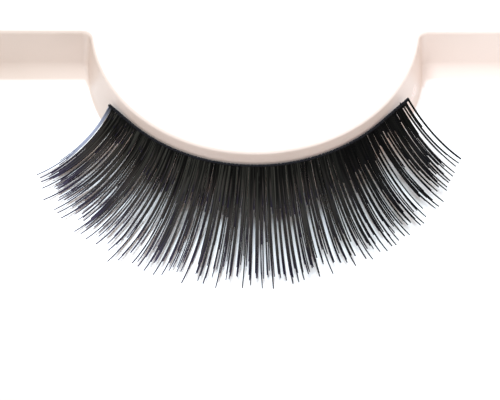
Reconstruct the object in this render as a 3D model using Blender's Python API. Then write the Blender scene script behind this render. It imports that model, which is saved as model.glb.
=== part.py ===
# A false eyelash strip resting against the D-shaped shelf of its plastic display tray.
# Metres. +X runs along the strip, +Y points to the raised deck at the back, +Z is up.
# The origin lies on the table, under the middle of the tray.

import math

import bmesh
import bpy
from mathutils import Vector

# Tray plate and its lip
TRAY_WIDTH = 0.056
TRAY_DEPTH = 0.048
TRAY_CORNER = 0.003
SHEET = 0.0006
LIP_RISE = 0.0015
LIP_WIDTH = 0.0011
LIP_EDGE = 0.00025
LIP_FOOT = 0.0008

# Raised deck along the back of the tray, with the D-shaped shelf in front of it
DECK_HEIGHT = 0.0074
DECK_DEPTH = 0.0030
DECK_MARGIN = 0.0011
DECK_CORNER = 0.0012
SHELF_RADIUS = 0.01674
SHELF_SETBACK = 0.00092
SHELF_FILLET = 0.0009
WALL_DRAFT = math.radians(3.0)
EDGE_ROUND = 0.0005
DECK_FOOT = 0.0023
SHELF_FOOT = 0.0005

# Band of the strip, which hugs the shelf and leaves it straight at both ends
BAND_HEIGHT = 0.00045
BAND_THICK = 0.00035
BAND_BEVEL = 0.00008
BAND_DROP = 0.0016
BAND_GAP = 0.00006
HUG_ANGLE = math.radians(48.0)
LEFT_END = 0.0031
RIGHT_END = 0.0042
BAND_STEP = math.radians(3.0)

# Fringe of lashes, gathered in locks on a thin root. The middle lash dips from the band until
# its lowest point clears the tray's floor, and curls up again by its bend.
LASH_LENGTH = 0.0143
LASH_BEND = math.radians(72.0)
FLOOR_CLEAR = 0.00091
LOCK_COUNT = 58
ROOT_GAP = 0.00005
ROOT_HEIGHT = 0.00036
ROOT_THICK = 0.00012
FRINGE_THICK = 0.00026
TIP_THICK = 0.00012
TIP_WIDTH = 0.00013
SPLIT_SHARE = 0.2

# Where along the band, then as shares of the middle lash's: length, dip where it leaves the
# band, and bend on its way to the tip. The last is its lean away from square, in degrees.
LASH_COLUMNS = ("along", "length", "dip", "bend", "lean")
LASH_TABLE = (
    (0.00, 0.70, 1.24, 0.97, -7.6),
    (0.10, 0.84, 1.14, 0.97, -5.6),
    (0.25, 0.95, 1.06, 0.97, -3.7),
    (0.50, 1.00, 1.00, 1.00, -1.6),
    (0.75, 0.87, 1.00, 0.93, -5.0),
    (0.90, 0.70, 0.96, 0.80, -7.5),
    (1.00, 0.54, 0.90, 0.68, -7.7),
)

# Neighbouring locks differ in length and curl, in this order over and over
LOCK_PATTERN = (
    {"length": 1.00, "dip": 0.0},
    {"length": 0.87, "dip": -3.0},
    {"length": 0.96, "dip": 1.5},
    {"length": 0.81, "dip": -4.5},
    {"length": 0.98, "dip": 0.5},
    {"length": 0.90, "dip": 3.0},
)

# Row of the free part of a lock: share of the length past the split, and of the width there
LOCK_SHARES = (
    (0.18, 0.86),
    (0.36, 0.70),
    (0.54, 0.52),
    (0.72, 0.34),
    (0.88, 0.20),
    (1.00, 0.00),
)

# Rows of the undivided part, as shares of its length
SHEET_SHARES = (0.06, 0.13, 1.0)

# Smoothness of the turned corners
CORNER_STEPS = 5
FILLET_STEPS = 4
SHELF_STEPS = 52
ROUND_STEPS = 3
FOOT_TURN = math.radians(70.0)

# Places that follow from the sizes
half_width = TRAY_WIDTH / 2
half_depth = TRAY_DEPTH / 2
deck_back = half_depth - DECK_MARGIN
deck_front = deck_back - DECK_DEPTH
deck_side = half_width - DECK_MARGIN
shelf_centre_y = deck_front + SHELF_SETBACK
lip_top = SHEET + LIP_RISE
band_top = DECK_HEIGHT - BAND_DROP
band_bottom = band_top - BAND_HEIGHT
root_height = band_top - BAND_HEIGHT / 2
seat_radius = SHELF_RADIUS + (DECK_HEIGHT - band_bottom) * math.tan(WALL_DRAFT) + BAND_GAP
hug_length = 2 * HUG_ANGLE * seat_radius
band_length = LEFT_END + hug_length + RIGHT_END
lash_room = root_height - SHEET - FLOOR_CLEAR
middle_dip = math.acos(1 - lash_room / LASH_LENGTH * LASH_BEND)


def clear_scene():
    for item in list(bpy.data.objects):
        bpy.data.objects.remove(item, do_unlink=True)


def make_material(name, color, roughness, metallic=0.0):
    material = bpy.data.materials.new(name)
    material.use_nodes = True
    shader = material.node_tree.nodes["Principled BSDF"]
    shader.inputs["Base Color"].default_value = (*color, 1.0)
    shader.inputs["Roughness"].default_value = roughness
    shader.inputs["Metallic"].default_value = metallic
    return material


def add_object(name, verts, faces, material=None):
    mesh = bpy.data.meshes.new(name)
    mesh.from_pydata([tuple(v) for v in verts], [], faces)
    mesh.update()
    work = bmesh.new()
    work.from_mesh(mesh)
    bmesh.ops.recalc_face_normals(work, faces=work.faces)
    work.to_mesh(mesh)
    work.free()
    item = bpy.data.objects.new(name, mesh)
    bpy.context.scene.collection.objects.link(item)
    if material:
        mesh.materials.append(material)
    return item


def loft(name, rings, material=None):
    """Joins rings of equal count into one closed solid with a flat cap at each end."""
    count = len(rings[0])
    verts = [point for ring in rings for point in ring]
    faces = [tuple(range(count))]
    for row in range(len(rings) - 1):
        low = row * count
        high = low + count
        for i in range(count):
            j = (i + 1) % count
            faces.append((low + i, low + j, high + j, high + i))
    last = (len(rings) - 1) * count
    faces.append(tuple(range(last + count - 1, last - 1, -1)))
    return add_object(name, verts, faces, material)


def arc_points(center, radius, start_deg, end_deg, steps):
    points = []
    for k in range(steps + 1):
        angle = math.radians(start_deg + (end_deg - start_deg) * k / steps)
        points.append((center[0] + radius * math.cos(angle), center[1] + radius * math.sin(angle)))
    return points


def plate_outline(inset):
    """Rounded rectangle of the tray plate, moved inwards by inset."""
    x = half_width - inset
    y = half_depth - inset
    r = max(TRAY_CORNER - inset, TRAY_CORNER * 0.2)
    points = []
    for k, (sx, sy) in enumerate(((1, 1), (-1, 1), (-1, -1), (1, -1))):
        center = (sx * (x - r), sy * (y - r))
        points += arc_points(center, r, 90 * k, 90 * k + 90, CORNER_STEPS)
    return points


def deck_outline(shelf_inset, front_inset, outer_inset):
    """Outline of deck and shelf, with the shelf, the deck's front and its other sides moved inwards."""
    x = deck_side - outer_inset
    back = deck_back - outer_inset
    front = deck_front + front_inset
    radius = SHELF_RADIUS - shelf_inset
    r = max(DECK_CORNER - outer_inset, DECK_CORNER * 0.2)
    rf = max(SHELF_FILLET + shelf_inset, SHELF_FILLET * 0.4)
    fillet_y = front - rf
    fillet_x = math.sqrt((radius + rf) ** 2 - (fillet_y - shelf_centre_y) ** 2)
    swing = math.degrees(math.atan2(shelf_centre_y - fillet_y, fillet_x))
    points = arc_points((-x + r, front + r), r, 180, 270, FILLET_STEPS)
    points += arc_points((-fillet_x, fillet_y), rf, 90, swing, FILLET_STEPS)
    points += arc_points((0, shelf_centre_y), radius, 180 + swing, 360 - swing, SHELF_STEPS)[1:-1]
    points += arc_points((fillet_x, fillet_y), rf, 180 - swing, 90, FILLET_STEPS)
    points += arc_points((x - r, front + r), r, 270, 360, FILLET_STEPS)
    points += arc_points((x - r, back - r), r, 0, 90, FILLET_STEPS)
    points += arc_points((-x + r, back - r), r, 90, 180, FILLET_STEPS)
    return points


def lift(points, z):
    return [Vector((x, y, z)) for x, y in points]


def wall_inset(z, shift):
    """The walls lean outwards towards the floor by their draft."""
    return shift - (DECK_HEIGHT - z) * math.tan(WALL_DRAFT)


def foot_heights(foot_round):
    """Heights of the rows of a rounded foot, down to just above the floor."""
    angles = [FOOT_TURN * k / ROUND_STEPS for k in range(ROUND_STEPS + 1)]
    return [SHEET + foot_round * (1 - math.sin(angle)) for angle in angles]


def foot_reach(z, foot_round):
    """How far a rounded foot stands out from its wall at a height."""
    share = (SHEET + foot_round - z) / foot_round
    share = min(max(share, 0), math.sin(FOOT_TURN))
    return foot_round * (1 - math.sqrt(1 - share * share))


def deck_rings(shift, top, deck_foot, bottom):
    """Rings of the raised form, or of the hollow under it, from the top down."""
    rings = []
    for k in range(ROUND_STEPS + 1):
        a = math.pi / 2 * (1 - k / ROUND_STEPS)
        z = top - EDGE_ROUND * (1 - math.sin(a))
        inset = wall_inset(top - EDGE_ROUND, shift) + EDGE_ROUND * (1 - math.cos(a))
        rings.append(lift(deck_outline(inset, inset, inset), z))
    heights = sorted(set(foot_heights(deck_foot) + foot_heights(SHELF_FOOT)), reverse=True)
    for z in heights:
        wall = wall_inset(z, shift)
        shelf_inset = wall - foot_reach(z, SHELF_FOOT)
        front_inset = wall - foot_reach(z, deck_foot)
        rings.append(lift(deck_outline(shelf_inset, front_inset, wall), z))
    shelf_inset -= SHELF_FOOT * 0.2
    front_inset -= deck_foot * 0.2
    rings.append(lift(deck_outline(shelf_inset, front_inset, wall_inset(bottom, shift)), bottom))
    return rings


def plate_rings():
    """Rings of the plate: up its outer side, over the lip and down to the floor of the tray."""
    rings = [lift(plate_outline(0), 0)]
    rings.append(lift(plate_outline(0), lip_top - LIP_EDGE))
    rings.append(lift(plate_outline(LIP_EDGE), lip_top))
    rings.append(lift(plate_outline(LIP_WIDTH - LIP_EDGE), lip_top))
    for k in range(ROUND_STEPS + 1):
        a = math.pi / 2 * k / ROUND_STEPS
        z = SHEET + LIP_FOOT * (1 - math.sin(a))
        rings.append(lift(plate_outline(LIP_WIDTH + LIP_FOOT * (1 - math.cos(a))), z))
    return rings


def cut_or_join(item, other, operation):
    modifier = item.modifiers.new(operation.lower(), "BOOLEAN")
    modifier.operation = operation
    modifier.solver = "EXACT"
    modifier.object = other
    other.hide_render = True
    other.display_type = "WIRE"


def make_tray():
    material = make_material("tray_plastic", (0.93, 0.91, 0.88), 0.3)
    tray = loft("tray", plate_rings(), material)
    raised = loft("raised_form", deck_rings(0, DECK_HEIGHT, DECK_FOOT, SHEET / 2))
    hollow = loft("hollow_form", deck_rings(SHEET, DECK_HEIGHT - SHEET, SHELF_FOOT, -SHEET))
    cut_or_join(tray, raised, "UNION")
    cut_or_join(tray, hollow, "DIFFERENCE")
    tray.data.shade_smooth()
    tray.data.set_sharp_from_angle(angle=math.radians(40))
    return tray


def band_place(along):
    """Place on the band's inner line, a share along it, with the direction square to the band."""
    s = along * band_length - LEFT_END
    turn = -HUG_ANGLE + min(max(s, 0), hug_length) / seat_radius
    past = min(s, 0) + max(s - hug_length, 0)
    out = Vector((math.sin(turn), -math.cos(turn), 0))
    side = Vector((math.cos(turn), math.sin(turn), 0))
    center = Vector((0, shelf_centre_y, 0))
    return center + out * seat_radius + side * past, out, turn


def band_stations():
    """Shares along the band: its two straight ends, and even steps round the shelf between them."""
    steps = max(8, round(2 * HUG_ANGLE / BAND_STEP))
    marks = [LEFT_END + hug_length * k / steps for k in range(steps + 1)]
    return [0] + [mark / band_length for mark in marks] + [1]


def band_section():
    """Section with its corners taken off: distance from the shelf, height above the middle."""
    t = BAND_THICK
    h = BAND_HEIGHT / 2
    b = BAND_BEVEL
    return ((0, -h + b), (b, -h), (t - b, -h), (t, -h + b), (t, h - b), (t - b, h), (b, h), (0, h - b))


def make_band():
    material = make_material("band_thread", (0.012, 0.011, 0.013), 0.55)
    rings = []
    for along in band_stations():
        place, out, turn = band_place(along)
        ring = [place + out * d + Vector((0, 0, root_height + h)) for d, h in band_section()]
        rings.append(ring)
    band = loft("lash_band", rings, material)
    band.data.shade_smooth()
    band.data.set_sharp_from_angle(angle=math.radians(50))
    return band


def lash_values(along):
    """Reads the lash table at a share along the band."""
    rows = [dict(zip(LASH_COLUMNS, row)) for row in LASH_TABLE]
    for first, second in zip(rows, rows[1:]):
        if along <= second["along"]:
            break
    mix = (along - first["along"]) / (second["along"] - first["along"])
    return {key: first[key] + (second[key] - first[key]) * mix for key in LASH_COLUMNS}


def lash_frame(along, share, pattern):
    """Point at a share of a lash's length, with its side and upward directions there."""
    values = lash_values(along)
    place, out, turn = band_place(along)
    heading = turn + math.radians(values["lean"])
    forward = Vector((math.sin(heading), -math.cos(heading), 0))
    side = Vector((math.cos(heading), math.sin(heading), 0))
    start = middle_dip * values["dip"] + math.radians(pattern["dip"])
    bend = LASH_BEND * values["bend"]
    length = LASH_LENGTH * values["length"] * pattern["length"]
    dip = start - bend * share
    reach = length * (math.sin(start) - math.sin(dip)) / bend
    drop = length * (math.cos(dip) - math.cos(start)) / bend
    root = place + out * (BAND_THICK + ROOT_GAP + ROOT_THICK) + Vector((0, 0, root_height))
    point = root + forward * reach + Vector((0, 0, -drop))
    up = forward * math.sin(dip) + Vector((0, 0, math.cos(dip)))
    return point, side, up


def fringe_columns():
    """Corner pairs, upper and lower, of the undivided rows at each lock's edge."""
    even = {"length": 1.0, "dip": 0.0}
    columns = []
    for k in range(LOCK_COUNT + 1):
        along = k / LOCK_COUNT
        place, out, turn = band_place(along)
        column = []
        for depth in (0, ROOT_THICK):
            middle = place + out * (BAND_THICK + ROOT_GAP + depth) + Vector((0, 0, root_height))
            rise = Vector((0, 0, ROOT_HEIGHT / 2))
            column.append((middle + rise, middle - rise))
        for row in SHEET_SHARES:
            share = SPLIT_SHARE * row
            thick = ROOT_HEIGHT + (FRINGE_THICK - ROOT_HEIGHT) * row
            point, side, up = lash_frame(along, share, even)
            column.append((point + up * thick / 2, point - up * thick / 2))
        columns.append(column)
    return columns


def make_fringe():
    material = make_material("lash_fibre", (0.016, 0.015, 0.018), 0.4)
    verts = []
    faces = []
    columns = fringe_columns()
    depth = len(columns[0])

    def corner(k, row, low):
        return (k * depth + row) * 2 + low

    for column in columns:
        for pair in column:
            verts += pair
    for k in range(LOCK_COUNT):
        faces.append((corner(k, 0, 0), corner(k, 0, 1), corner(k + 1, 0, 1), corner(k + 1, 0, 0)))
        for row in range(depth - 1):
            for low in (0, 1):
                faces.append((corner(k, row, low), corner(k + 1, row, low),
                              corner(k + 1, row + 1, low), corner(k, row + 1, low)))
    for k in (0, LOCK_COUNT):
        for row in range(depth - 1):
            faces.append((corner(k, row, 0), corner(k, row + 1, 0),
                          corner(k, row + 1, 1), corner(k, row, 1)))
    for k in range(LOCK_COUNT):
        last = depth - 1
        ring = [corner(k, last, 0), corner(k + 1, last, 0), corner(k + 1, last, 1), corner(k, last, 1)]
        full_width = (columns[k + 1][last][0] - columns[k][last][0]).length
        pattern = LOCK_PATTERN[k % len(LOCK_PATTERN)]
        along = (k + 0.5) / LOCK_COUNT
        for row, width_share in LOCK_SHARES:
            share = SPLIT_SHARE + (1 - SPLIT_SHARE) * row
            half = (TIP_WIDTH + (full_width - TIP_WIDTH) * width_share) / 2
            rise = (FRINGE_THICK + (TIP_THICK - FRINGE_THICK) * row) / 2
            point, side, up = lash_frame(along, share, pattern)
            base = len(verts)
            verts += [point - side * half + up * rise, point + side * half + up * rise,
                      point + side * half - up * rise, point - side * half - up * rise]
            new_ring = [base, base + 1, base + 2, base + 3]
            for i in range(4):
                j = (i + 1) % 4
                faces.append((ring[i], ring[j], new_ring[j], new_ring[i]))
            ring = new_ring
        faces.append(tuple(ring))
    fringe = add_object("lash_fringe", verts, faces, material)
    fringe.data.shade_smooth()
    fringe.data.set_sharp_from_angle(angle=math.radians(50))
    return fringe


clear_scene()
make_tray()
make_band()
make_fringe()
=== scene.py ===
import math
import random

import bmesh
import bpy
from mathutils import Matrix, Vector


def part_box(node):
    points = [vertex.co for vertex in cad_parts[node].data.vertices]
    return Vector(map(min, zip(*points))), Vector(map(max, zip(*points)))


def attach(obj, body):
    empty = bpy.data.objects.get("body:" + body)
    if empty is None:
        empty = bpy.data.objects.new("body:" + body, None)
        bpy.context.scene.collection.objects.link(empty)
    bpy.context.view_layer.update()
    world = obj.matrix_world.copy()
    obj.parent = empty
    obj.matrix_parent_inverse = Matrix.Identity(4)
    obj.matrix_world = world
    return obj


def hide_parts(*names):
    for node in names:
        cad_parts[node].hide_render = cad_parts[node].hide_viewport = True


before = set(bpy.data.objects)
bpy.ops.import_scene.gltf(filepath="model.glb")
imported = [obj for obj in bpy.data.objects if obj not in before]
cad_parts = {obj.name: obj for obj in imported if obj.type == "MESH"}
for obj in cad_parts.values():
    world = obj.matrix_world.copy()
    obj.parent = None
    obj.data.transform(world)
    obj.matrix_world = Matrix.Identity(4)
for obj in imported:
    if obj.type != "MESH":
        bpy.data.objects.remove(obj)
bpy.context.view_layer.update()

# False eyelash strip on a display tray: single hairs on a knotted band, and the tray that it rests on
mm = 0.001


# One socket of a node tree, so that shader and geometry maths read as plain sums
class Wire:
    def __init__(self, tree, socket):
        self.tree = tree
        self.socket = socket

    def maths(self, operation, first, second=None):
        node = self.tree.nodes.new("ShaderNodeMath")
        node.operation = operation
        plug(self.tree, node.inputs[0], first)
        if second is not None:
            plug(self.tree, node.inputs[1], second)
        return Wire(self.tree, node.outputs[0])

    def __add__(self, other):
        return self.maths("ADD", self, other)

    def __radd__(self, other):
        return self.maths("ADD", other, self)

    def __sub__(self, other):
        return self.maths("SUBTRACT", self, other)

    def __rsub__(self, other):
        return self.maths("SUBTRACT", other, self)

    def __mul__(self, other):
        return self.maths("MULTIPLY", self, other)

    def __rmul__(self, other):
        return self.maths("MULTIPLY", other, self)

    def __truediv__(self, other):
        return self.maths("DIVIDE", self, other)

    def __pow__(self, other):
        return self.maths("POWER", self, other)

    def __neg__(self):
        return self.maths("MULTIPLY", self, -1.0)

    def sine(self):
        return self.maths("SINE", self)

    def cosine(self):
        return self.maths("COSINE", self)

    def above(self, other):
        return self.maths("MAXIMUM", self, other)

    def below(self, other):
        return self.maths("MINIMUM", self, other)


def plug(tree, socket, value):
    if isinstance(value, Wire):
        tree.links.new(value.socket, socket)
    else:
        socket.default_value = value


def pickSocket(sockets, name):
    if isinstance(name, int):
        return sockets[name]
    return next(socket for socket in sockets if socket.name == name and socket.enabled)


# Adds a node of any type: its settings first, then the values or wires of its sockets
class Graph:
    def __init__(self, tree):
        self.tree = tree
        tree.nodes.clear()

    def add(self, kind, settings=None, values=None):
        node = self.tree.nodes.new(kind)
        for key, value in (settings or {}).items():
            if key == "stops":
                self.setStops(node.color_ramp, value)
            else:
                setattr(node, key, value)
        for name, value in (values or {}).items():
            socket = pickSocket(node.inputs, name)
            for one in value if isinstance(value, list) else [value]:
                plug(self.tree, socket, one)
        return node

    def setStops(self, ramp, stops):
        while len(ramp.elements) < len(stops):
            ramp.elements.new(0.5)
        for element, (place, color) in zip(ramp.elements, stops):
            element.position = place
            element.color = (*color, 1.0)

    def wire(self, node, name=0):
        return Wire(self.tree, pickSocket(node.outputs, name))

    def get(self, kind, settings=None, values=None, name=0):
        return self.wire(self.add(kind, settings, values), name)

    # A colour mix has its colours in sockets 6 and 7 and gives its result in socket 2
    def mixColors(self, amount, first, second):
        node = self.tree.nodes.new("ShaderNodeMix")
        node.data_type = "RGBA"
        plug(self.tree, node.inputs[0], amount)
        plug(self.tree, node.inputs[6], first)
        plug(self.tree, node.inputs[7], second)
        return Wire(self.tree, node.outputs[2])

    def combine(self, x, y, z):
        return self.get("ShaderNodeCombineXYZ", None, {"X": x, "Y": y, "Z": z})


def rgb(red, green, blue):
    return (red, green, blue, 1.0)


# Geometry node trees: named inputs, and one geometry in and out
class ShapeTree(Graph):
    def __init__(self, name, inputs):
        super().__init__(bpy.data.node_groups.new(name, "GeometryNodeTree"))
        face = self.tree.interface
        face.new_socket("Geometry", in_out="INPUT", socket_type="NodeSocketGeometry")
        face.new_socket("Geometry", in_out="OUTPUT", socket_type="NodeSocketGeometry")
        self.marks = {}
        for label, (kind, value) in inputs.items():
            socket = face.new_socket(label, in_out="INPUT", socket_type=kind)
            self.marks[label] = (socket.identifier, value)
        self.start = self.tree.nodes.new("NodeGroupInput")

    def given(self, label="Geometry"):
        return self.wire(self.start, label)

    def attribute(self, name):
        settings = {"data_type": "FLOAT"}
        return self.get("GeometryNodeInputNamedAttribute", settings, {"Name": name}, "Attribute")

    def circle(self, sides, radius):
        return self.get("GeometryNodeCurvePrimitiveCircle", None, {"Resolution": sides, "Radius": radius})

    def store(self, shape, name, value):
        settings = {"data_type": "FLOAT", "domain": "POINT"}
        return self.get("GeometryNodeStoreNamedAttribute", settings,
                        {"Geometry": shape, "Name": name, "Value": value})

    # Makes the instances real, because the export drops those that aren't
    def end(self, shape, material):
        smooth = self.get("GeometryNodeSetShadeSmooth", None, {"Geometry": shape})
        real = self.get("GeometryNodeRealizeInstances", None, {"Geometry": smooth})
        painted = self.get("GeometryNodeSetMaterial", None, {"Geometry": real, "Material": material})
        self.add("NodeGroupOutput", None, {"Geometry": painted})

    # Runs the tree on an object and swaps the object's mesh for the plain result
    def build(self, source, name):
        modifier = source.modifiers.new(name, "NODES")
        modifier.node_group = self.tree
        for identifier, value in self.marks.values():
            modifier[identifier] = value
        ready = source.evaluated_get(bpy.context.evaluated_depsgraph_get())
        mesh = bpy.data.meshes.new_from_object(ready)
        piece = addPiece(name, mesh)
        bpy.data.objects.remove(source, do_unlink=True)
        return piece


def addPiece(name, mesh):
    piece = bpy.data.objects.new(name, mesh)
    mesh.name = name
    bpy.context.scene.collection.objects.link(piece)
    return piece


def report(stage, piece):
    piece.data.calc_loop_triangles()
    print(stage, piece.name, len(piece.data.loop_triangles), "triangles")


# Materials

def newMaterial(name, constants):
    material = bpy.data.materials.new(name)
    material.use_nodes = True
    graph = Graph(material.node_tree)
    shader = graph.add("ShaderNodeBsdfPrincipled", None, constants)
    graph.add("ShaderNodeOutputMaterial", None, {"Surface": graph.wire(shader)})
    return material, graph, shader


def clamped(wire):
    return wire.above(0.0).below(1.0)


def objectPlace(graph):
    return graph.get("ShaderNodeTexCoord", None, None, "Object")


def noise(graph, place, scale, detail=2.0, roughness=0.5):
    return graph.get("ShaderNodeTexNoise", None,
                     {"Vector": place, "Scale": scale, "Detail": detail, "Roughness": roughness})


def paint(graph, shader, name, value):
    plug(graph.tree, shader.inputs[name], value)


trayLook = {
    "flat": rgb(0.95, 0.915, 0.88),
    # painted shade of the upright faces, and its deeper tone towards the left
    "wall": rgb(0.79, 0.652, 0.572),
    "wallLeft": rgb(0.60, 0.480, 0.400),
    "wallSpread": 1.6,  # above 1 the rounds at the top and foot of a wall take the painted shade too
    "cloudScale": 60.0,
    "shadeDrift": 30.0,  # how fast the painted shade deepens to the left, per metre
    "shadeDriftFrom": 0.20,
    "roughness": 0.30,
    "roughnessSpread": 0.14,
    "hazeScale": 420.0,
    "grainScale": 5200.0,
    "grainDepth": 0.012 * mm,
    "grainStrength": 0.25,
    "glue": rgb(0.90, 0.78, 0.72),
    "glueSpeck": rgb(0.84, 0.59, 0.50),
    "gluePlace": (15.95 * mm, 15.45 * mm, 2.85 * mm),
    "glueRadius": 0.95 * mm,
    "glueReach": 2.1,  # in radii, before the ragged noise is taken off
    "glueRagged": 2.2,
    "glueEdge": 2.5,  # how sharply the dab ends
    "glueRise": 2.5,  # its height in the bump, against the plastic's grain
    "raggedScale": 1500.0,
    "speckScale": 3600.0,
    "speckContrast": 6.0,
}


# White plastic. Its upright faces carry painted shade by their slope, darker and warmer than the flat tops
# and most so towards the left side, with a dried dab of glue on the shelf's wall beside the strip's right end
def makeTrayPlastic():
    material, graph, shader = newMaterial("trayPlastic", {"IOR": 1.5})
    place = objectPlace(graph)
    cloud = noise(graph, place, trayLook["cloudScale"], 3.0)
    across = graph.get("ShaderNodeSeparateXYZ", None, {"Vector": place}, "X")
    # painted shade that deepens to the left, made uneven by a cloud noise
    leftShade = clamped(cloud - trayLook["shadeDriftFrom"] - across * trayLook["shadeDrift"])
    wall = graph.mixColors(leftShade, trayLook["wall"], trayLook["wallLeft"])
    upright = graph.get("ShaderNodeAttribute", {"attribute_name": "upright"}, None, "Fac")
    # the flat tops keep the plastic's colour, and the upright faces take the painted shade
    plastic = graph.mixColors((upright * trayLook["wallSpread"]).below(1.0), trayLook["flat"], wall)
    away = graph.get("ShaderNodeVectorMath", {"operation": "DISTANCE"},
                     {0: place, 1: trayLook["gluePlace"]}, "Value")
    ragged = noise(graph, place, trayLook["raggedScale"], 4.0, 0.6)
    near = trayLook["glueReach"] - away / trayLook["glueRadius"] - ragged * trayLook["glueRagged"]
    dab = clamped(near * trayLook["glueEdge"])
    speck = clamped((noise(graph, place, trayLook["speckScale"]) - 0.5) * trayLook["speckContrast"])
    glue = graph.mixColors(speck, trayLook["glue"], trayLook["glueSpeck"])
    paint(graph, shader, "Base Color", graph.mixColors(dab, plastic, glue))
    haze = noise(graph, place, trayLook["hazeScale"], 4.0, 0.6)
    paint(graph, shader, "Roughness", haze * trayLook["roughnessSpread"] + trayLook["roughness"])
    height = noise(graph, place, trayLook["grainScale"]) + dab * trayLook["glueRise"]
    bump = graph.get("ShaderNodeBump", None, {"Strength": trayLook["grainStrength"],
                                              "Distance": trayLook["grainDepth"], "Height": height})
    paint(graph, shader, "Normal", bump)
    return material


# Colour runs along each hair: black at the root, a painted brown-grey sheen in the middle, and dark violet at
# the tip, painted for light through the thin hair. Some hairs have an olive shade, a painted sheen. The hairs
# of the right half are painted blacker, without the sheen, and the long ones of the left half get tips
# painted paler. The outermost few at the left end are painted pale lavender between root and tip, a painted
# shadow.
fibreLook = {
    # painted light along each hair: a brown-grey sheen in the middle and violet light through the thin tips
    "along": (
        (0.00, (0.0012, 0.0012, 0.0010)),
        (0.25, (0.0034, 0.0030, 0.0026)),
        (0.46, (0.0300, 0.0235, 0.0200)),
        (0.68, (0.0265, 0.0215, 0.0200)),
        (0.85, (0.0100, 0.0075, 0.0135)),
        (1.00, (0.0150, 0.0100, 0.0250)),
    ),
    # the right half is painted towards this black, which keeps the painted sheen off it
    "black": rgb(0.0010, 0.0010, 0.0010),
    "blackest": 0.85,
    "halfAt": 0.52,  # where the band's halves meet, as a share along it
    "halfRise": 4.0,
    # painted sheen on a random few hairs
    "oliveSheen": rgb(0.040, 0.038, 0.030),
    "oliveSheenMost": 0.8,
    # painted light: paler grey tips for the long hairs of the left half
    "greyTip": rgb(0.075, 0.060, 0.092),
    "greyFrom": 7.0 * mm,
    "greyOver": 2.5 * mm,
    "greyPower": 7.0,
    # painted shadow: pale lavender on the outermost hairs at the left end, for the soft grey shadow along
    # them
    "shadowPale": rgb(0.35, 0.36, 0.44),
    "shadowPaleTo": 0.0135,  # share along the band
    "shadowPaleEdge": 1000.0,
    "shadowPaleRise": 3.0,  # how fast a hair pales from its root
    "shadowPalePower": 5.0,  # how late it darkens to its tip
    "roughness": 0.38,
    "roughnessSpread": 0.16,
    "streakScale": 2600.0,
}


def makeLashFibre():
    material, graph, shader = newMaterial("lashFibre", {"IOR": 1.5, "Specular IOR Level": 0.05})

    def mark(name):
        return graph.get("ShaderNodeAttribute", {"attribute_name": name}, None, "Fac")

    share = mark("share")
    along = mark("along")
    # painted sheen and light along the hair
    color = graph.get("ShaderNodeValToRGB", {"stops": fibreLook["along"]}, {"Fac": share}, "Color")
    color = graph.mixColors(mark("shade") * fibreLook["oliveSheenMost"], color, fibreLook["oliveSheen"])
    # the right half painted blacker, and the long hairs of the left half given painted paler tips
    rightHalf = clamped((along - fibreLook["halfAt"]) * fibreLook["halfRise"])
    color = graph.mixColors(rightHalf * fibreLook["blackest"], color, fibreLook["black"])
    leftHalf = clamped((fibreLook["halfAt"] - along) * fibreLook["halfRise"])
    longHair = clamped((mark("length") - fibreLook["greyFrom"]) / fibreLook["greyOver"])
    greyed = leftHalf * longHair * share ** fibreLook["greyPower"]
    color = graph.mixColors(greyed, color, fibreLook["greyTip"])
    # painted shadow: the outermost hairs at the left end turn pale lavender between root and tip
    leftEnd = clamped((fibreLook["shadowPaleTo"] - along) * fibreLook["shadowPaleEdge"])
    pastRoot = (share * fibreLook["shadowPaleRise"]).below(1.0)
    shadowPaleMask = leftEnd * pastRoot * (1.0 - share ** fibreLook["shadowPalePower"])
    paint(graph, shader, "Base Color", graph.mixColors(shadowPaleMask, color, fibreLook["shadowPale"]))
    streak = noise(graph, objectPlace(graph), fibreLook["streakScale"], 3.0)
    paint(graph, shader, "Roughness", streak * fibreLook["roughnessSpread"] + fibreLook["roughness"])
    return material


threadLook = {
    "black": rgb(0.003, 0.003, 0.005),
    "worn": rgb(0.012, 0.011, 0.013),
    "fibreScale": 9000.0,
    "roughness": 0.55,
    "roughnessSpread": 0.2,
    "fuzz": 0.02 * mm,
    "fuzzStrength": 0.5,
}


def makeBandThread():
    material, graph, shader = newMaterial("bandThread", {"Specular IOR Level": 0.15})
    fibres = noise(graph, objectPlace(graph), threadLook["fibreScale"], 3.0, 0.65)
    paint(graph, shader, "Base Color", graph.mixColors(fibres, threadLook["black"], threadLook["worn"]))
    paint(graph, shader, "Roughness", fibres * threadLook["roughnessSpread"] + threadLook["roughness"])
    bump = graph.get("ShaderNodeBump", None, {"Strength": threadLook["fuzzStrength"],
                                              "Distance": threadLook["fuzz"], "Height": fibres})
    paint(graph, shader, "Normal", bump)
    return material


def makeFloorPaper():
    return newMaterial("floorPaper", {"Roughness": 0.8, "Base Color": rgb(0.9, 0.9, 0.9)})[0]


# Where the band lies: round the shelf, and straight on past it at both ends
bandSize = {
    "shelfCentre": Vector((0, 20.82 * mm, 0)),
    "innerRadius": 16.907 * mm,
    "thick": 0.35 * mm,
    "hugAngle": math.radians(48.0),
    "leftEnd": 3.1 * mm,  # straight past the shelf's round, at the left and the right
    "rightEnd": 4.2 * mm,
}
bandLow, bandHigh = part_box("lash_band")
bandMiddle = (bandLow.z + bandHigh.z) / 2
hugLength = 2 * bandSize["hugAngle"] * bandSize["innerRadius"]
bandLength = bandSize["leftEnd"] + hugLength + bandSize["rightEnd"]


# Middle of the band's thickness at a share along it, and how far the band has turned there
def bandPlace(along):
    step = along * bandLength - bandSize["leftEnd"]
    turn = -bandSize["hugAngle"] + min(max(step, 0), hugLength) / bandSize["innerRadius"]
    past = min(step, 0) + max(step - hugLength, 0)
    outward = Vector((math.sin(turn), -math.cos(turn), 0))
    side = Vector((math.cos(turn), math.sin(turn), 0))
    radius = bandSize["innerRadius"] + bandSize["thick"] / 2
    place = bandSize["shelfCentre"] + outward * radius + side * past
    place.z = bandMiddle
    return place, turn


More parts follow.
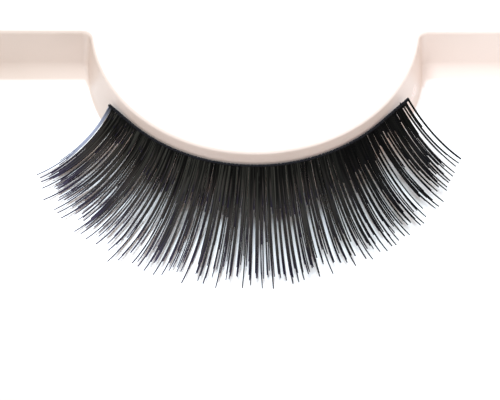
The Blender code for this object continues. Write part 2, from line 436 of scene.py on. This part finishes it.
# Lashes: knots of hairs along the band, each hair with its own length, curl and lean. Angles are in degrees.
# A rise is what a value gains from the strip's left end to its right.
lashSize = {
    "length": 14.3 * mm,  # of the middle lash, along its curl
    "dip": 50.0,  # how steeply it leaves the band, downwards
    "bend": 72.0,  # how far it turns up over its length
    "knots": 97,
    "rootRange": (0.001, 0.999),  # share of the band that the roots keep to
    "width": 0.122 * mm,
    "widthRise": 0.20,
    "widthRange": (0.9, 1.08),
    "firstKnotWidth": 0.85,
    "lastKnotWidth": 1.40,
    "lastHairPlace": 0.18,  # in knots' pitches
    "lastHairReach": 1.02,
    "singles": 0.40,  # how often a knot has a hair that stands out past the others
    "singlesRise": 0.42,
    "singleReach": 1.01,  # share of the full length
    "bunchedReach": 0.90,
    "singleWidth": 1.25,  # at the left end, down to 1 at the right
    "singleFrom": 0.97,  # reach past which a hair counts as single
    "shortening": 0.5,  # how much further the short hairs fall back towards both ends
    "taper": 0.80,  # share along the hair where it starts to thin
    "taperRise": 0.12,
    "tip": 0.80,  # width at the tip, as a share
    "tipRise": 0.05,
    "shadePower": 3,  # the higher, the fewer hairs get the painted olive sheen
    "lockKnots": (2, 4),  # fewest and most knots that lean alike
    "lockSpread": 1.2,  # how much further apart the locks lean at the left end
    "fanKnots": 4,  # the last few knots, which fan out
    "fanTurn": 2.2,
    "seed": 11,
    "points": 15,
    "sides": 5,
    "stub": 1.0 * mm,  # straight line that each hair is bent from
}
# How far these stray: most to either side, or the spread of the bell curve for those drawn with gauss
lashStray = {
    "knotPlace": 0.12,
    "hairPlace": 0.05,
    "hairHeight": 0.08 * mm,
    "taper": 0.05,
    "lockLean": 0.7,
    "lockDip": 0.8,
    "knotLean": 0.3,
    "heading": 0.14,
    "dip": 0.7,
    "bend": 0.8,
    "shortReach": 0.03,
    "longReach": 0.015,
    "sway": 0.03 * mm,
}
# Along the band, then length, dip and bend as shares of the middle lash's, then lean in degrees
lashColumns = ("along", "length", "dip", "bend", "lean")
lashTable = (
    (0.00, 0.74, 1.24, 0.97, -7.6),
    (0.10, 0.86, 1.14, 0.97, -5.6),
    (0.25, 0.95, 1.06, 0.97, -3.7),
    (0.50, 1.00, 1.00, 1.00, -1.6),
    (0.75, 0.87, 1.00, 0.93, -5.0),
    (0.90, 0.72, 0.96, 0.80, -7.5),
    (1.00, 0.57, 0.90, 0.68, -7.7),
)
# The hairs of one knot: place within the knot's pitch, share of the full length, and how often a knot
# has this hair at the strip's left and right end
hairColumns = ("place", "length", "left", "right")
knotHairs = (
    (0.00, 1.00, 1.00, 1.00),
    (0.25, 0.90, 0.96, 0.66),
    (-0.25, 0.84, 0.94, 0.66),
    (0.51, 0.79, 0.50, 0.15),
    (-0.49, 0.72, 0.50, 0.20),
    (0.14, 0.58, 1.00, 0.90),
    (-0.42, 0.38, 1.00, 1.00),
    (0.46, 0.31, 1.00, 0.90),
)


def lashValues(along):
    rows = [dict(zip(lashColumns, row)) for row in lashTable]
    for first, second in zip(rows, rows[1:]):
        if along <= second["along"]:
            break
    mix = (along - first["along"]) / (second["along"] - first["along"])
    return {key: first[key] + (second[key] - first[key]) * mix for key in lashColumns}


def isSingle(dice, along):
    return dice.random() < lashSize["singles"] + lashSize["singlesRise"] * along


def hairWidth(dice, along, reach, knot):
    width = lashSize["width"] * dice.uniform(*lashSize["widthRange"]) * (1 + lashSize["widthRise"] * along)
    if reach > lashSize["singleFrom"]:
        width *= lashSize["singleWidth"] - (lashSize["singleWidth"] - 1) * along
    if knot == 0:
        width *= lashSize["firstKnotWidth"]
    if knot == lashSize["knots"] - 1:
        width *= lashSize["lastKnotWidth"]
    return width


# What the hair tree and the fibre's colour read from each root point
hairMarks = ("heading", "dip", "bend", "length", "width", "taper", "tip", "sway", "shade", "along")


# Knots go in locks that lean alike, and some have one hair that is longer than the rest. The last few at the
# right fan out, and the very last is one hair alone.
def lashRoots():
    dice = random.Random(lashSize["seed"])
    knots = lashSize["knots"]
    places = []
    values = {mark: [] for mark in hairMarks}
    knotsLeft = 0
    for knot in range(knots):
        if knotsLeft == 0:
            knotsLeft = dice.randint(*lashSize["lockKnots"])
            lockLean = dice.gauss(0, lashStray["lockLean"])
            lockDip = dice.gauss(0, lashStray["lockDip"])
        knotsLeft -= 1
        fromLast = knots - 1 - knot
        middle = (knot + 0.5 + dice.uniform(-lashStray["knotPlace"], lashStray["knotPlace"])) / knots
        lash = lashValues(middle)
        nearEnd = (2 * middle - 1) ** 2  # 0 in the middle of the band, 1 at both ends
        lockShare = 1 + lashSize["lockSpread"] * (1 - middle) ** 2
        lean = lash["lean"] + lockLean * lockShare + dice.gauss(0, lashStray["knotLean"])
        knotTurn = bandPlace(middle)[1] + math.radians(lean)
        knotTurn += math.radians(lashSize["fanTurn"]) * max(0, 1 - fromLast / lashSize["fanKnots"])
        knotDip = lashSize["dip"] * lash["dip"] + lockDip
        knotBend = lashSize["bend"] * lash["bend"]
        longest = lashSize["singleReach"] if isSingle(dice, middle) else lashSize["bunchedReach"]
        for row in knotHairs:
            hair = dict(zip(hairColumns, row))
            if dice.random() > hair["left"] + (hair["right"] - hair["left"]) * middle:
                continue
            if fromLast == 0:
                if hair["length"] < 1:
                    continue
                hair["place"] = lashSize["lastHairPlace"]
                longest = lashSize["lastHairReach"]
            shift = (hair["place"] + dice.uniform(-lashStray["hairPlace"], lashStray["hairPlace"])) / knots
            along = min(max(middle + shift, lashSize["rootRange"][0]), lashSize["rootRange"][1])
            place = bandPlace(along)[0]
            place.z += dice.uniform(-lashStray["hairHeight"], lashStray["hairHeight"])
            places.append(place)
            if hair["length"] < 1:
                short = (1 - hair["length"]) * (1 + lashSize["shortening"] * nearEnd)
                reach = 1 - short + dice.gauss(0, lashStray["shortReach"])
            else:
                reach = longest + dice.gauss(0, lashStray["longReach"])
            values["heading"].append(knotTurn + math.radians(dice.gauss(0, lashStray["heading"])))
            values["dip"].append(math.radians(knotDip + dice.gauss(0, lashStray["dip"])))
            values["bend"].append(math.radians(knotBend * reach + dice.gauss(0, lashStray["bend"])))
            values["length"].append(lashSize["length"] * lash["length"] * reach)
            values["width"].append(hairWidth(dice, along, reach, knot))
            stray = dice.uniform(-lashStray["taper"], lashStray["taper"])
            values["taper"].append(lashSize["taper"] + lashSize["taperRise"] * along + stray)
            values["tip"].append(lashSize["tip"] + lashSize["tipRise"] * along)
            values["along"].append(along)
            values["sway"].append(dice.gauss(0, lashStray["sway"]))
            values["shade"].append(dice.random() ** lashSize["shadePower"])
    return places, values


# Each root point gets one hair: a line that dips from the band, bends up and tapers to its tip
def lashTree(material):
    tree = ShapeTree("lashHairs", {
        "Points": ("NodeSocketInt", lashSize["points"]),
        "Sides": ("NodeSocketInt", lashSize["sides"]),
    })
    stub = tree.get("GeometryNodeCurvePrimitiveLine", None, {"End": (0, 0, lashSize["stub"])})
    stub = tree.get("GeometryNodeResampleCurve", None, {"Curve": stub, "Count": tree.given("Points")})
    placed = tree.get("GeometryNodeInstanceOnPoints", None, {"Points": tree.given(), "Instance": stub})
    strands = tree.get("GeometryNodeRealizeInstances", None, {"Geometry": placed})
    strands = tree.store(strands, "share", tree.get("GeometryNodeSplineParameter", None, None, "Factor"))
    share = tree.attribute("share")
    heading = tree.attribute("heading")
    dip = tree.attribute("dip")
    bend = tree.attribute("bend")
    here = dip - bend * share
    scale = tree.attribute("length") / bend
    reach = scale * (dip.sine() - here.sine())
    drop = scale * (here.cosine() - dip.cosine())
    sway = (share * math.pi).sine() * tree.attribute("sway")
    x = heading.sine() * reach + heading.cosine() * sway
    y = heading.sine() * sway - heading.cosine() * reach
    offset = tree.combine(x, y, -drop - share * lashSize["stub"])  # takes the stub's own rise off again
    strands = tree.get("GeometryNodeSetPosition", None, {"Geometry": strands, "Offset": offset})
    taper = tree.attribute("taper")
    past = ((share - taper) / (1.0 - taper)).above(0.0)
    thin = 1.0 - past * past * (1.0 - tree.attribute("tip"))
    radius = tree.attribute("width") * 0.5 * thin
    section = tree.circle(tree.given("Sides"), 1.0)
    tubes = tree.get("GeometryNodeCurveToMesh", None,
                     {"Curve": strands, "Profile Curve": section, "Scale": radius, "Fill Caps": True})
    tree.end(tubes, material)
    return tree


def makeLashes(material):
    places, values = lashRoots()
    mesh = bpy.data.meshes.new("lashRoots")
    mesh.from_pydata([tuple(place) for place in places], [], [])
    for key, numbers in values.items():
        mesh.attributes.new(key, "FLOAT", "POINT").data.foreach_set("value", numbers)
    source = addPiece("lashRoots", mesh)
    piece = lashTree(material).build(source, "lashHairs")
    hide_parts("lash_fringe")
    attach(piece, "root")
    report("lashes", piece)


# Band: two twisted threads, whipped by the loops that knot the hairs on
threadSize = {
    "coreRadius": 0.085 * mm,
    "coreOffset": 0.06 * mm,
    "turns": 46.0,
    "loops": 210,
    "loopRadius": 0.028 * mm,
    "loopHigh": 0.185 * mm,
    "loopWide": 0.135 * mm,
    "loopTilt": (0.22, 0.22, 0.1),  # most to either side, in radians
    "coreSides": 8,
    "loopSides": 14,
    "loopThreadSides": 6,
    "lineSteps": 90,
    "stations": 420,  # sections along each twisted thread
    "seed": 3,
}


def bandTree(material):
    tree = ShapeTree("lashBand", {
        "Stations": ("NodeSocketInt", threadSize["stations"]),
        "Core Radius": ("NodeSocketFloat", threadSize["coreRadius"]),
        "Core Offset": ("NodeSocketFloat", threadSize["coreOffset"]),
        "Turns": ("NodeSocketFloat", threadSize["turns"]),
        "Loops": ("NodeSocketInt", threadSize["loops"]),
        "Loop Radius": ("NodeSocketFloat", threadSize["loopRadius"]),
        "Loop High": ("NodeSocketFloat", threadSize["loopHigh"]),
        "Loop Wide": ("NodeSocketFloat", threadSize["loopWide"]),
        "Seed": ("NodeSocketInt", threadSize["seed"]),
    })
    line = tree.get("GeometryNodeMeshToCurve", None, {"Mesh": tree.given()})
    path = tree.get("GeometryNodeResampleCurve", None, {"Curve": line, "Count": tree.given("Stations")})
    share = tree.get("GeometryNodeSplineParameter", None, None, "Factor")
    normal = tree.get("GeometryNodeInputNormal", None, None, "Normal")
    coreSection = tree.circle(threadSize["coreSides"], tree.given("Core Radius"))
    shapes = []
    for phase in (0.0, math.pi):
        angle = share * tree.given("Turns") * (2 * math.pi) + phase
        outward = tree.get("ShaderNodeVectorMath", {"operation": "SCALE"},
                           {0: normal, "Scale": angle.cosine() * tree.given("Core Offset")})
        upward = tree.combine(0.0, 0.0, angle.sine() * tree.given("Core Offset"))
        offset = tree.get("ShaderNodeVectorMath", {"operation": "ADD"}, {0: outward, 1: upward})
        twisted = tree.get("GeometryNodeSetPosition", None, {"Geometry": path, "Offset": offset})
        shapes.append(tree.get("GeometryNodeCurveToMesh", None,
                               {"Curve": twisted, "Profile Curve": coreSection, "Fill Caps": True}))
    oval = tree.combine(tree.given("Loop Wide"), tree.given("Loop High"), 1.0)
    ring = tree.circle(threadSize["loopSides"], 1.0)
    ring = tree.get("GeometryNodeTransform", None, {"Geometry": ring, "Scale": oval})
    loopSection = tree.circle(threadSize["loopThreadSides"], tree.given("Loop Radius"))
    loop = tree.get("GeometryNodeCurveToMesh", None, {"Curve": ring, "Profile Curve": loopSection})
    spots = tree.add("GeometryNodeCurveToPoints", {"mode": "COUNT"},
                     {"Curve": line, "Count": tree.given("Loops")})
    most = Vector(threadSize["loopTilt"])
    tilt = tree.get("FunctionNodeRandomValue", {"data_type": "FLOAT_VECTOR"},
                    {"Min": -most, "Max": most, "Seed": tree.given("Seed")})
    aim = tree.get("FunctionNodeAxesToRotation", {"primary_axis": "Z", "secondary_axis": "Y"},
                   {"Primary Axis": tree.wire(spots, "Tangent"), "Secondary Axis": (0, 0, 1)})
    tilted = tree.get("FunctionNodeEulerToRotation", None, {0: tilt})
    turned = tree.get("FunctionNodeRotateRotation", {"rotation_space": "LOCAL"},
                      {"Rotation": aim, "Rotate By": tilted})
    loops = tree.get("GeometryNodeInstanceOnPoints", None,
                     {"Points": tree.wire(spots, "Points"), "Instance": loop, "Rotation": turned})
    shapes.append(loops)
    tree.end(tree.get("GeometryNodeJoinGeometry", None, {"Geometry": shapes}), material)
    return tree


# The middle line stops short of the band's ends, so that the last loops stay within the band's length
def makeBand(material):
    count = threadSize["lineSteps"]
    inset = 1.5 * threadSize["loopRadius"] / bandLength
    shares = [inset + (1 - 2 * inset) * k / count for k in range(count + 1)]
    places = [tuple(bandPlace(share)[0]) for share in shares]
    mesh = bpy.data.meshes.new("bandLine")
    mesh.from_pydata(places, [(k, k + 1) for k in range(count)], [])
    source = addPiece("bandLine", mesh)
    piece = bandTree(material).build(source, "lashBand")
    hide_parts("lash_band")
    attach(piece, "root")
    report("band", piece)


# Tray: the frame's own shell, with its triangles merged so that its rounds shade smoothly
traySize = {
    "weld": 0.002 * mm,
    "flat": math.radians(0.6),  # faces that turn less than this become one
    "crease": math.radians(38.0),
    "footLow": 0.55 * mm,  # between these heights the walls run into the floor
    "footHigh": 0.76 * mm,
    "footStart": 0.65 * mm,  # height where the walls' painted shade begins, and over which it grows
    "footFade": 0.25 * mm,
}


def makeTray(material):
    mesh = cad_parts["tray"].data.copy()
    work = bmesh.new()
    work.from_mesh(mesh)
    bmesh.ops.remove_doubles(work, verts=work.verts, dist=traySize["weld"])
    bmesh.ops.dissolve_limit(work, angle_limit=traySize["flat"], verts=work.verts, edges=work.edges)
    work.to_mesh(mesh)
    work.free()
    mesh.materials.clear()
    mesh.materials.append(material)
    mesh.shade_smooth()
    mesh.set_sharp_from_angle(angle=traySize["crease"])
    # No crease where the walls run into the floor
    for edge in mesh.edges:
        heights = [mesh.vertices[index].co.z for index in edge.vertices]
        if traySize["footLow"] < min(heights) and max(heights) < traySize["footHigh"]:
            edge.use_edge_sharp = False
    # Mask for the walls' painted shade: how upright each vertex is, from the foot's height up
    upright = []
    for vertex in mesh.vertices:
        risen = (vertex.co.z - traySize["footStart"]) / traySize["footFade"]
        upright.append(math.sqrt(max(0, 1 - vertex.normal.z ** 2)) * min(max(risen, 0), 1))
    mesh.attributes.new("upright", "FLOAT", "POINT").data.foreach_set("value", upright)
    piece = addPiece("trayShell", mesh)
    modifier = piece.modifiers.new("flatFaces", "WEIGHTED_NORMAL")
    modifier.keep_sharp = True
    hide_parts("tray")
    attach(piece, "root")
    report("tray", piece)


# Floor, light and camera
studio = {
    "elevation": math.radians(51.0),
    "target": Vector((-0.53 * mm, -2.14 * mm, 7.4 * mm)),
    "distance": 1.0,
    "frameWidth": 50.0 * mm,
    "sensor": 36.0,  # the lens and this are in millimetres
    "clip": (0.01, 10.0),
    "worldLight": rgb(1.0, 0.88, 0.82),
    "worldStrength": 0.68,
    "backdrop": rgb(0.95, 0.95, 0.95),
    "lampPlace": Vector((-0.04, -0.035, 0.42)),
    "lampAim": Vector((0, 0, 0)),
    "lampAcross": 0.2,
    "lampWatts": 2.42,
    "lampLight": (0.82, 1.0, 1.16),
    "floorHalf": 1.5,
    "floorBelow": 0.01 * mm,
}


def makeFloor():
    grid = bmesh.new()
    bmesh.ops.create_grid(grid, x_segments=1, y_segments=1, size=studio["floorHalf"])
    mesh = bpy.data.meshes.new("floorSheet")
    grid.to_mesh(mesh)
    grid.free()
    mesh.transform(Matrix.Translation((0, 0, -studio["floorBelow"])))
    mesh.materials.append(makeFloorPaper())
    addPiece("floorSheet", mesh)


# Warm light from all round, and a plain pale backdrop where the camera sees past the floor
def makeWorld():
    world = bpy.data.worlds.new("studioWorld")
    bpy.context.scene.world = world
    world.use_nodes = True
    graph = Graph(world.node_tree)
    seen = graph.get("ShaderNodeLightPath", None, None, "Is Camera Ray")
    fill = graph.get("ShaderNodeBackground", None,
                     {"Color": studio["worldLight"], "Strength": studio["worldStrength"]})
    backdrop = graph.get("ShaderNodeBackground", None, {"Color": studio["backdrop"], "Strength": 1.0})
    both = graph.get("ShaderNodeMixShader", None, {0: seen, 1: fill, 2: backdrop})
    graph.add("ShaderNodeOutputWorld", None, {"Surface": both})


def makeLamp():
    lamp = bpy.data.lights.new("overheadSoft", "AREA")
    lamp.shape = "DISK"
    lamp.size = studio["lampAcross"]
    lamp.energy = studio["lampWatts"]
    lamp.color = studio["lampLight"]
    item = bpy.data.objects.new("overheadSoft", lamp)
    item.location = studio["lampPlace"]
    item.rotation_euler = (studio["lampAim"] - studio["lampPlace"]).to_track_quat("-Z", "Y").to_euler()
    item.visible_camera = False
    bpy.context.scene.collection.objects.link(item)


def makeCamera():
    camera = bpy.data.objects.new("camera", bpy.data.cameras.new("camera"))
    bpy.context.scene.collection.objects.link(camera)
    back = Vector((0, -math.cos(studio["elevation"]), math.sin(studio["elevation"])))
    camera.location = studio["target"] + back * studio["distance"]
    camera.rotation_euler = (-back).to_track_quat("-Z", "Y").to_euler()
    camera.data.sensor_width = studio["sensor"]
    camera.data.lens = studio["sensor"] * studio["distance"] / studio["frameWidth"]
    camera.data.clip_start, camera.data.clip_end = studio["clip"]
    bpy.context.scene.camera = camera


def makeStudio():
    makeFloor()
    makeWorld()
    makeLamp()
    makeCamera()
    bpy.context.scene.view_settings.view_transform = "Standard"
    print("studio ready")


makeStudio()
makeTray(makeTrayPlastic())
makeBand(makeBandThread())
makeLashes(makeLashFibre())
